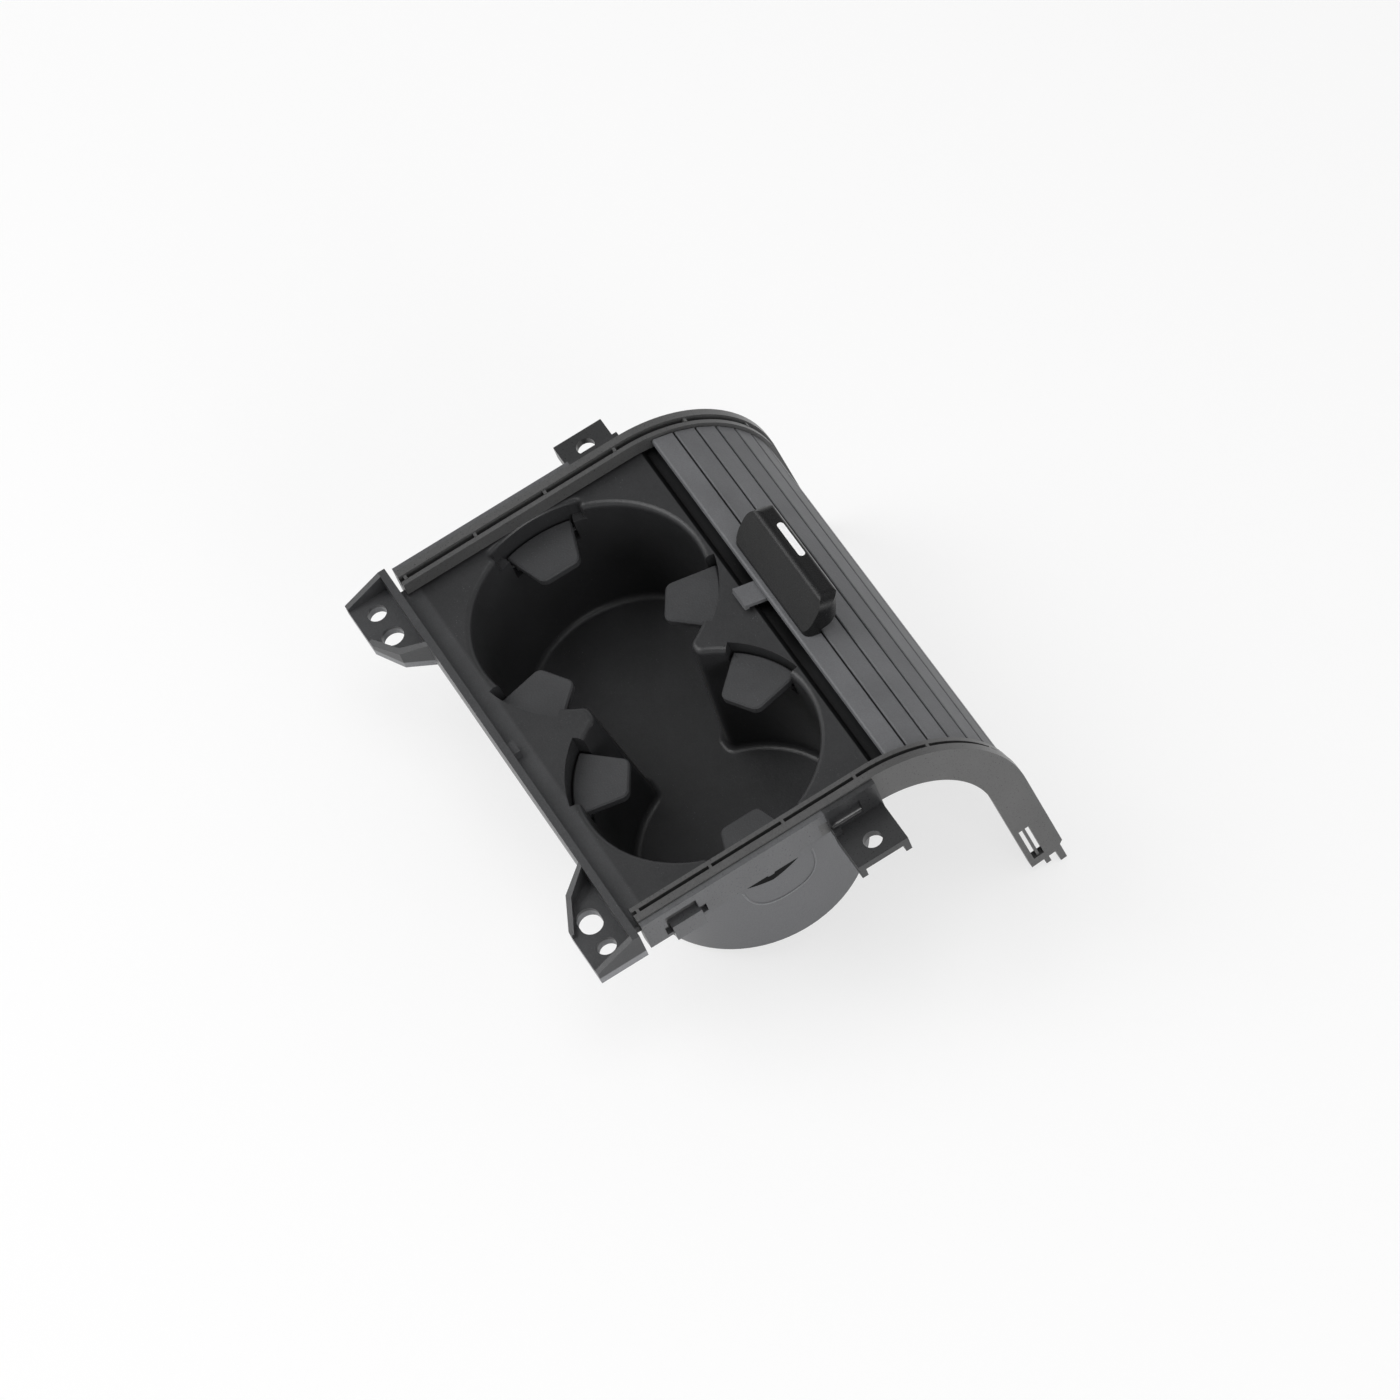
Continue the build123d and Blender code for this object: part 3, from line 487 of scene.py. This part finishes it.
def film(number, holder, first, second, gap):
    """Strip under the gap between two slats, from edge to edge of their undersides."""
    one = slat_points(first)
    two = slat_points(second)
    way = (middle(two) - middle(one)).normalized()
    down = inward(way)
    near_one = [point for point in one if point.dot(way) > middle(one).dot(way)]
    near_two = [point for point in two if point.dot(way) < middle(two).dot(way)]
    edge_one = in_section(max(near_one, key=down.dot))
    edge_two = in_section(max(near_two, key=down.dot))
    along = (edge_two - edge_one).normalized()
    out = inward(along)
    start = edge_one - along * FILM_OVERLAP * MM + out * gap * MM
    end = edge_two + along * FILM_OVERLAP * MM + out * gap * MM
    thick = out * FILM_THICK * MM
    half = max(point.x for point in one) - FILM_END * MM
    corners = []
    for x in (-half, half):
        for point in (start, end, end + thick, start + thick):
            corners.append((x, point.y, point.z))
    faces = [(0, 1, 2, 3), (7, 6, 5, 4), (0, 4, 5, 1), (1, 5, 6, 2), (2, 6, 7, 3), (3, 7, 4, 0)]
    mesh = closed_mesh("shutter_film_%02d" % number, corners, faces)
    mesh.materials.append(film_black)
    strip = place_object("shutter_film_%02d" % number, mesh)
    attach(strip, holder)


bpy.context.view_layer.update()
slats = ["shutter_bar"] + ["shutter_slat_%02d" % number for number in range(1, SLAT_COUNT + 1)]
holders = ["shutter_front"] + ["slat_%02d" % number for number in range(1, SLAT_COUNT)]
for number, holder in enumerate(holders, 1):
    gap = FILM_LAST_GAP if number == SLAT_COUNT else FILM_GAP
    film(number, holder, slats[number - 1], slats[number], gap)


# Floor, light and camera

def backdrop():
    """Pale floor that lies under the wells and the feet of the arms, clear from below."""
    front = row(0, *FLOOR_FRONT)
    rear = row(0, *FLOOR_REAR)
    along = (rear - front).normalized() * FLOOR_HALF
    across = Vector((FLOOR_HALF, 0, 0))
    centre = (front + rear) / 2
    corners = [centre + across * a + along * b for a, b in ((-1, -1), (1, -1), (1, 1), (-1, 1))]
    mesh = bpy.data.meshes.new("floor")
    mesh.from_pydata([tuple(corner) for corner in corners], [], [(0, 1, 2, 3)])
    mesh.update()
    n = Nodes("floor_white")
    matt = n.add("ShaderNodeBsdfDiffuse", Color=(FLOOR_WHITE, FLOOR_WHITE, FLOOR_WHITE, 1))
    glow = n.add("ShaderNodeEmission", Color=(1, 1, 1, 1), Strength=1.0)
    path = n.add("ShaderNodeLightPath")
    seen = path.outputs["Is Camera Ray"]
    for kind in ("Is Glossy Ray", "Is Transmission Ray"):
        seen = n.math("MAXIMUM", seen, path.outputs[kind])
    lit = n.add("ShaderNodeMixShader", Fac=n.math("MULTIPLY", seen, FLOOR_GLOW))
    n.link(matt.outputs["BSDF"], lit.inputs[1])
    n.link(glow.outputs["Emission"], lit.inputs[2])
    clear = n.add("ShaderNodeBsdfTransparent")
    face = n.add("ShaderNodeNewGeometry")
    whole = n.add("ShaderNodeMixShader", Fac=face.outputs["Backfacing"])
    n.link(lit.outputs["Shader"], whole.inputs[1])
    n.link(clear.outputs["BSDF"], whole.inputs[2])
    n.link(whole.outputs["Shader"], n.output.inputs["Surface"])
    mesh.materials.append(n.material)
    floor = place_object("floor", mesh)


def lamp(name, place, size, power):
    """Soft square lamp aimed at the part."""
    light = bpy.data.lights.new(name, "AREA")
    light.shape = "SQUARE"
    light.size = size
    light.energy = power
    thing = place_object(name, light)
    thing.location = place
    thing.rotation_euler = (-Vector(place)).to_track_quat("-Z", "Y").to_euler()


def surroundings():
    """White walls round the floor, with a dimmer ceiling."""
    world = bpy.data.worlds.new("studio")
    bpy.context.scene.world = world
    world.use_nodes = True
    tree = world.node_tree
    tree.nodes.clear()
    out = tree.nodes.new("ShaderNodeOutputWorld")
    soft = tree.nodes.new("ShaderNodeBackground")
    place = tree.nodes.new("ShaderNodeTexCoord")
    split = tree.nodes.new("ShaderNodeSeparateXYZ")
    level = tree.nodes.new("ShaderNodeMapRange")
    level.inputs["From Min"].default_value = WALL_TOP
    level.inputs["From Max"].default_value = CEILING_EDGE
    level.inputs["To Min"].default_value = 1.0
    level.inputs["To Max"].default_value = CEILING_LEVEL
    tree.links.new(place.outputs["Generated"], split.inputs["Vector"])
    tree.links.new(split.outputs["Z"], level.inputs["Value"])
    tree.links.new(level.outputs["Result"], soft.inputs["Strength"])
    tree.links.new(soft.outputs["Background"], out.inputs["Surface"])


def camera():
    """Camera that sees the part as the photo does."""
    lens = bpy.data.cameras.new("camera")
    lens.sensor_width = CAMERA_SENSOR
    lens.lens = CAMERA_LENS
    lens.clip_start = 0.05
    lens.clip_end = 50.0
    thing = place_object("camera", lens)
    turn = Matrix((CAMERA_RIGHT, CAMERA_UP, CAMERA_BACK)).transposed().to_4x4()
    turn.translation = Vector(CAMERA_PLACE)
    thing.matrix_world = turn
    bpy.context.scene.camera = thing


backdrop()
surroundings()
for name, (place, size, power) in LAMPS.items():
    lamp(name, place, size, power)
camera()
bpy.context.scene.view_settings.view_transform = "Standard"
